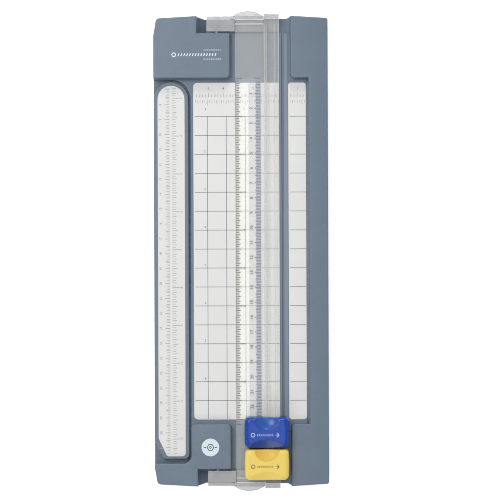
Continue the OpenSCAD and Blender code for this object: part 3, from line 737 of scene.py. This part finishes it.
# on the arm
arm_print_z = (arm_sheet[2][1] - 0.005, arm_sheet[2][1] + 0.012)
arm_mid = pivot[0]
arm_start = arm_sheet[1][1] - 1.5              # the scales keep clear of the sheet's ends
arm_end = arm_sheet[1][0] + 1.2
ARM_ZERO = 98.3 + 80                           # where the centimetres would count from, past the sheet
ARM_INCH_ZERO = 102.7 + 3 * INCH               # and the inches
ARM_NUMBER = 1.6                               # height of the arm's numbers
ARM_TICK = 0.38                                # width of its ticks
bm = bmesh.new()
for millimetres in range(math.ceil(ARM_ZERO - arm_start), int(ARM_ZERO - arm_end) + 1):
    length, weight = millimetre_ticks(2.2)(millimetres)
    y = ARM_ZERO - millimetres
    half = ARM_TICK / 2 * weight
    box_into(bm, (arm_mid - 1.1 - length, arm_mid - 1.1), (y - half, y + half), arm_print_z)
    if millimetres % 10 == 0 and y < arm_start - 7.5:
        write_into(bm, str(millimetres // 10), (arm_mid - 7.2, y), ARM_NUMBER, arm_print_z, 90)
first = math.ceil((ARM_INCH_ZERO - arm_start) / SIXTEENTH)
last = int((ARM_INCH_ZERO - arm_end) / SIXTEENTH)
for sixteenths in range(first, last + 1):
    length, weight = inch_ticks(2.3)(sixteenths)
    y = ARM_INCH_ZERO - sixteenths * SIXTEENTH
    half = ARM_TICK / 2 * weight
    box_into(bm, (arm_mid + 0.6, arm_mid + 0.6 + length), (y - half, y + half), arm_print_z)
    if sixteenths % 16 == 0:
        write_into(bm, str(sixteenths // 16), (arm_mid + 6.8, y), ARM_NUMBER, arm_print_z, 90)
piece("arm_scales", finished(bm, "arm_scales"), soft_ink, "ruler_arm")


# ---------------------------------------------------------- generic marks

def hatching_into(bm, x, y, height, z, pitch):
    """A row of short slanting strokes that stands where a name is printed, from x[0] to x[1]."""
    stroke = height * 0.34
    lean = height * 0.35
    low, high = y - height / 2, y + height / 2
    for i in range(int((x[1] - x[0]) / pitch)):
        left = x[0] + i * pitch
        right = left + stroke
        prism_into(bm, [(left, low), (right, low), (right + lean, high), (left + lean, high)], z)


title_z = (block_top - 0.01, block_top + 0.02)
title_y = 131.4
bm = bmesh.new()
ring_into(bm, (-44.6, title_y), 1.5, 1.0, title_z)
hatching_into(bm, (-42.0, -14.0), title_y, 1.8, title_z, 1.9)
for y in (title_y + 3.2, title_y - 3.0):
    hatching_into(bm, (-24.6, -12.6), y, 0.9, title_z, 1.2)
for vertex in bm.verts:
    vertex.co.z -= crown_drop(vertex.co.x / MM) * MM
piece("block_print", finished(bm, "block_print"), pale_ink, "base")

emblem_z = (emblem[2][1] - 0.005, emblem[2][1] + 0.02)
bm = bmesh.new()
ring_into(bm, emblem_mid, 2.5, 1.9, emblem_z, sides=6)
ring_into(bm, emblem_mid, 0.8, 0.35, emblem_z, sides=24)
for way in (-1, 1):
    reach = sorted((emblem_mid[0] + way * 2.9, emblem_mid[0] + way * 4.4))
    box_into(bm, reach, (emblem_mid[1] - 0.27, emblem_mid[1] + 0.27), emblem_z)
piece("emblem_mark", finished(bm, "emblem_mark"), black_ink, "base")


# --------------------------------------------------------------- cassettes

CAP_EDGE = 2.9                                 # rounding of a cap's top edge
CAP_CORNERS = (2.8, 3.4)                       # rounding of its far and near corners, seen from above
SKIN_GAP = 0.02                                # how far its skin stays inside the CAD cap's box
DRAFT = 0.3                                    # how far its walls lean in
BOW = 0.3                                      # how far its sides bulge
BOWL = (15.7, 2.62)                            # thumb hollow: ball radius and depth at the far edge
SCOOP = (46.4, 4.32, 13.8)                     # finger scoop: ball radius, depth, and how far out it is
HOLLOW_EDGE = 0.22                             # how softly the hollows meet the top
EDGE_STEPS = 14                                # rings of faces round the top edge
TOP_RINGS = 44                                 # and from there to the middle


def rounded_ring(half_x, half_y, far_r, near_r, corner_steps=9, side_steps=(26, 34)):
    """Points round a rectangle with rounded corners, anticlockwise from the middle of its right side."""
    points = []
    corners = ((1, 1, far_r), (-1, 1, far_r), (-1, -1, near_r), (1, -1, near_r))
    for number, (sx, sy, radius) in enumerate(corners):
        middle = Vector((sx * (half_x - radius), sy * (half_y - radius)))
        start = number * math.pi / 2
        for i in range(corner_steps + 1):
            angle = start + math.pi / 2 * i / corner_steps
            points.append(middle + radius * Vector((math.cos(angle), math.sin(angle))))
        nx, ny, next_radius = corners[(number + 1) % 4]
        next_start = start + math.pi / 2
        target = Vector((nx * (half_x - next_radius), ny * (half_y - next_radius)))
        target += next_radius * Vector((math.cos(next_start), math.sin(next_start)))
        steps = side_steps[(number + 1) % 2]
        points += [points[-1].lerp(target, i / steps) for i in range(1, steps)]
    return [Vector((p.x * (1 - BOW / half_x * (p.y / half_y) ** 2), p.y)) for p in points]


def soft_min(a, b, k):
    """The lower of a and b, rounded where they are nearer than k."""
    h = max(k - abs(a - b), 0) / k
    return min(a, b) - h * h * k / 4


def cap_height(x, y, z, middle, far_y, near_y, top):
    """The height of the cap's skin at (x, y) once the two hollows are pressed into it."""
    for centre_y, radius, depth in ((far_y, BOWL[0], BOWL[1]), (near_y - SCOOP[2], SCOOP[0], SCOOP[1])):
        left = radius ** 2 - (x - middle) ** 2 - (y - centre_y) ** 2
        if left > 0:
            z = soft_min(z, top - depth + radius - math.sqrt(left), HOLLOW_EDGE)
    return z


def cap_skin(node):
    """The smooth outer shape of a cassette's cap as a closed mesh."""
    (x0, x1), (y0, y1), (z0, top) = span(node)
    centre = Vector(((x0 + x1) / 2, (y0 + y1) / 2))
    half = Vector(((x1 - x0) / 2, (y1 - y0) / 2))

    def ring(inset):
        far, near = (corner - inset / 2 for corner in CAP_CORNERS)
        return [centre + p for p in rounded_ring(half.x - inset, half.y - inset, far, near)]

    levels = [(ring(SKIN_GAP), z0), (ring(SKIN_GAP + DRAFT * 0.5), (z0 + top - CAP_EDGE) / 2)]
    for i in range(EDGE_STEPS + 1):
        angle = math.pi / 2 * i / EDGE_STEPS
        inset = SKIN_GAP + DRAFT + CAP_EDGE * (1 - math.cos(angle))
        levels.append((ring(inset), top - CAP_EDGE * (1 - math.sin(angle))))
    last = levels[-1][0]
    for i in range(1, TOP_RINGS):
        share = 1 - i / TOP_RINGS
        levels.append(([centre + (p - centre) * share for p in last], top))
    bm = bmesh.new()
    rows = []
    for points, z in levels:
        row = []
        for p in points:
            height = cap_height(p.x, p.y, z, centre.x, y1, y0, top) if z > top - CAP_EDGE - 0.1 else z
            row.append(bm.verts.new((p.x * MM, p.y * MM, height * MM)))
        rows.append(row)
    count = len(last)
    for low, high in zip(rows, rows[1:]):
        for i in range(count):
            j = (i + 1) % count
            bm.faces.new((low[i], low[j], high[j], high[i]))
    bm.faces.new(list(reversed(rows[0])))
    height = cap_height(centre.x, centre.y, top, centre.x, y1, y0, top)
    crown = bm.verts.new((centre.x * MM, centre.y * MM, height * MM))
    for i in range(count):
        bm.faces.new((rows[-1][i], rows[-1][(i + 1) % count], crown))
    bmesh.ops.recalc_face_normals(bm, faces=bm.faces)
    return mesh_from(bm, node + "_skin")


def cap_piece(name, node, material, body):
    """The smooth skin with the CAD cap's own hollow underside.

    The CAD cap is made slightly bigger than the skin first, so that only its underside cuts the skin.
    """
    low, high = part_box(node)
    base = Vector(((low.x + high.x) / 2, (low.y + high.y) / 2, low.z))
    bm = clean_copy(node)
    grow = Matrix.Translation(base) @ Matrix.Diagonal((1.01, 1.012, 1.012, 1)) @ Matrix.Translation(-base)
    bmesh.ops.transform(bm, matrix=grow, verts=bm.verts)
    inner = bpy.data.objects.new("inner", mesh_from(bm, "inner"))
    skin = bpy.data.objects.new("skin", cap_skin(node))
    for made in (inner, skin):
        scene.collection.objects.link(made)
    cut = skin.modifiers.new("hollows", "BOOLEAN")
    cut.operation = "INTERSECT"
    cut.solver = "EXACT"
    cut.object = inner
    mesh = smooth(applied(skin), 38)
    bpy.data.objects.remove(inner)
    return piece(name, mesh, material, body, [node])


def hollow_tone(material, centre, reach, tone):
    """Multiplies a cap's colour by tone near a hollow's centre, which paints shade or a reflection into the
    hollow.
    """
    tree = material.node_tree
    shader = tree.nodes["Principled BSDF"]
    colour = shader.inputs["Base Color"].links[0].from_socket
    place = tree.nodes.new("ShaderNodeTexCoord")
    away = tree.nodes.new("ShaderNodeVectorMath")
    away.operation = "DISTANCE"
    away.inputs[1].default_value = centre
    tree.links.new(place.outputs["Object"], away.inputs[0])
    inside = tree.nodes.new("ShaderNodeMapRange")
    inside.interpolation_type = "SMOOTHSTEP"
    inside.inputs["From Min"].default_value = reach + 0.15 * MM
    inside.inputs["From Max"].default_value = reach - 0.35 * MM
    tree.links.new(away.outputs["Value"], inside.inputs["Value"])
    mix = tree.nodes.new("ShaderNodeMix")
    mix.data_type = "RGBA"
    mix.blend_type = "MULTIPLY"
    factor, first, second, mixed = mix.inputs[0], mix.inputs[6], mix.inputs[7], mix.outputs[2]
    second.default_value = tone
    tree.links.new(inside.outputs["Result"], factor)
    tree.links.new(colour, first)
    tree.links.new(mixed, shader.inputs["Base Color"])


def hollow_tones(material, node, bowl, scoop):
    """Paints shade or a reflection into the thumb hollow and the finger scoop of a cap."""
    (x0, x1), (y0, y1), (_, top) = span(node)
    middle = (x0 + x1) / 2 * MM
    hollows = ((y1, BOWL, bowl), (y0 - SCOOP[2], SCOOP[:2], scoop))
    for y, (radius, depth), tone in hollows:
        reach = math.sqrt(radius ** 2 - (radius - depth) ** 2)
        hollow_tone(material, (middle, y * MM, top * MM), reach * MM, tone)


def cap_mark(name, node, material, body, rise):
    """A ring, a row of strokes and an arrow on the flat of a cap."""
    (x0, x1), (y0, y1), (_, top) = span(node)
    y = (y0 + y1) / 2 + rise
    z = (top - 0.03, top + 0.02)
    bm = bmesh.new()
    ring_into(bm, (x0 + 5.8, y), 1.45, 0.95, z)
    hatching_into(bm, (x0 + 8.4, x1 - 9.4), y, 1.35, z, 1.25)
    tip = x1 - 6.7
    for way in (-1, 1):
        bar = [(tip - 1.9, y + way * 1.6), (tip - 1.3, y + way * 1.6), (tip, y), (tip - 0.75, y)]
        prism_into(bm, bar if way < 0 else list(reversed(bar)), z)
    box_into(bm, (tip - 2.6, tip - 1.0), (y - 0.22, y + 0.22), z)
    piece(name, finished(bm, name), material, body)


cap_piece("score_cap_shell", "score_cap", blue_plastic, "score_press")
cap_piece("cut_cap_shell", "cut_cap", yellow_plastic, "cut_press")
# painted light in the hollows: the blue bowl lightened and the blue scoop tinted as painted reflections, the
# scoop's of the yellow cap beside it, and the yellow bowl darkened as painted shade
hollow_tones(blue_plastic, "score_cap", (3.6, 1.7, 1.05, 1), (3.0, 1.0, 0.6, 1))
hollow_tones(yellow_plastic, "cut_cap", (0.87, 0.77, 0.60, 1), (1.0, 0.98, 1.05, 1))
cap_mark("score_cap_mark", "score_cap", cap_ink, "score_press", -1.5)
cap_mark("cut_cap_mark", "cut_cap", brown_ink, "cut_press", -1.2)

for kind in ("score", "cut"):
    piece(kind + "_runner_body", softened(kind + "_runner", rim_rounding(0.15), 2), nylon,
          kind + "_carriage", [kind + "_runner"])

COIL_RADIUS = 1.9                              # from a spring's axis to the middle of its wire
WIRE_RADIUS = 0.25
TURNS = 4
CLOSING = 0.55                                 # how much flatter than the middle a spring's end turns are


def coil_into(bm, centre, z, wire_sides=10, steps=30):
    """Adds a coil spring that stands between two heights, its end turns closer together."""
    count = TURNS * steps
    rings = []
    for i in range(count + 1):
        turn = 2 * math.pi * i / steps
        share = i / count - CLOSING * math.sin(2 * math.pi * i / count) / (2 * math.pi)
        height = z[0] + WIRE_RADIUS + (z[1] - z[0] - 2 * WIRE_RADIUS) * share
        ring = []
        for k in range(wire_sides):
            around = 2 * math.pi * k / wire_sides
            out = COIL_RADIUS + WIRE_RADIUS * math.cos(around)
            place = (centre[0] + out * math.cos(turn), centre[1] + out * math.sin(turn),
                     height + WIRE_RADIUS * math.sin(around))
            ring.append(bm.verts.new([c * MM for c in place]))
        rings.append(ring)
    for here, there in zip(rings, rings[1:]):
        for k in range(wire_sides):
            m = (k + 1) % wire_sides
            bm.faces.new((here[k], here[m], there[m], there[k]))
    bm.faces.new(rings[0])
    bm.faces.new(list(reversed(rings[-1])))


for kind in ("score", "cut"):
    x, y, z = span(kind + "_springs")
    inset = COIL_RADIUS + WIRE_RADIUS
    bm = bmesh.new()
    for coil_x in (x[0] + inset, x[1] - inset):
        coil_into(bm, (coil_x, (y[0] + y[1]) / 2), z)
    made = piece(kind + "_spring_coils", smooth(finished(bm, kind + "_spring_coils"), 40), steel,
                 kind + "_carriage", [kind + "_springs"])
    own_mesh(made)


# ------------------------------------------- CAD nodes that keep their shape

def repaint(node, material):
    """Gives a CAD node's object a finished material in its own slot."""
    made = nodes[node]
    for place in made.material_slots:
        place.link = "OBJECT"
        place.material = material


for material, painted in (
    (paper, ("deck_label", "side_label", "arm_label")),
    (badge, ("emblem_disc",)),
    (dull_steel, ("hinge_pin_far", "hinge_pin_near")),
    (steel, ("cover_screws", "arm_washer", "arm_screw", "score_axle", "cut_axle")),
    (wheel_steel, ("score_wheel", "cut_wheel")),
):
    for node in painted:
        repaint(node, material)


# --------------------------------------------------------------- the scene

floor_bm = bmesh.new()
bmesh.ops.create_grid(floor_bm, x_segments=8, y_segments=8, size=3.0)
floor = bpy.data.objects.new("floor", mesh_from(floor_bm, "floor"))
scene.collection.objects.link(floor)
floor_paint = finish("studio_floor", (0.93, 0.93, 0.93, 1), 0.9, mottle=0.004, mottle_size=300, grain=2,
                     depth=0.0)
floor_shader = floor_paint.node_tree.nodes["Principled BSDF"]
floor_shader.inputs["Emission Color"].default_value = (1, 1, 1, 1)
floor_shader.inputs["Emission Strength"].default_value = 0.5
floor.data.materials.append(floor_paint)

world = bpy.data.worlds.new("studio")
world.use_nodes = True
world.node_tree.nodes["Background"].inputs["Color"].default_value = (0.985, 0.99, 1.0, 1)
world.node_tree.nodes["Background"].inputs["Strength"].default_value = 0.46
scene.world = world
scene.view_settings.view_transform = "Standard"
scene.cycles.filter_width = 1.05
scene.cycles.transparent_max_bounces = 48      # the clear rail has many surfaces one behind another


def area_light(name, place, target, size, power):
    """A round soft light of the given size in metres and power in watts, facing target."""
    data = bpy.data.lights.new(name, "AREA")
    data.shape = "DISK"
    data.size = size
    data.energy = power
    light = bpy.data.objects.new(name, data)
    light.location = place
    light.rotation_euler = (Vector(target) - Vector(place)).to_track_quat("-Z", "Y").to_euler()
    scene.collection.objects.link(light)


area_light("key", (-0.75, 0.7, 1.8), (0, 0, 0), 0.9, 20)
area_light("rim", (0.1, 1.3, 0.7), (0, 0, 0), 0.4, 6)
area_light("overhead", (0, -0.1, 2.3), (0, -0.1, 0), 1.0, 5)
area_light("near", (-0.4, -1.5, 1.4), (0, 0, 0), 0.9, 7.5)

camera_data = bpy.data.cameras.new("camera")
camera_data.type = "PERSP"
camera_data.lens = 200
camera_data.sensor_width = 36
camera = bpy.data.objects.new("camera", camera_data)
camera.location = (5.93 * MM, 0.7 * MM, 1.875)
camera.rotation_euler = (0, 0, math.radians(-0.21))
scene.collection.objects.link(camera)
scene.camera = camera
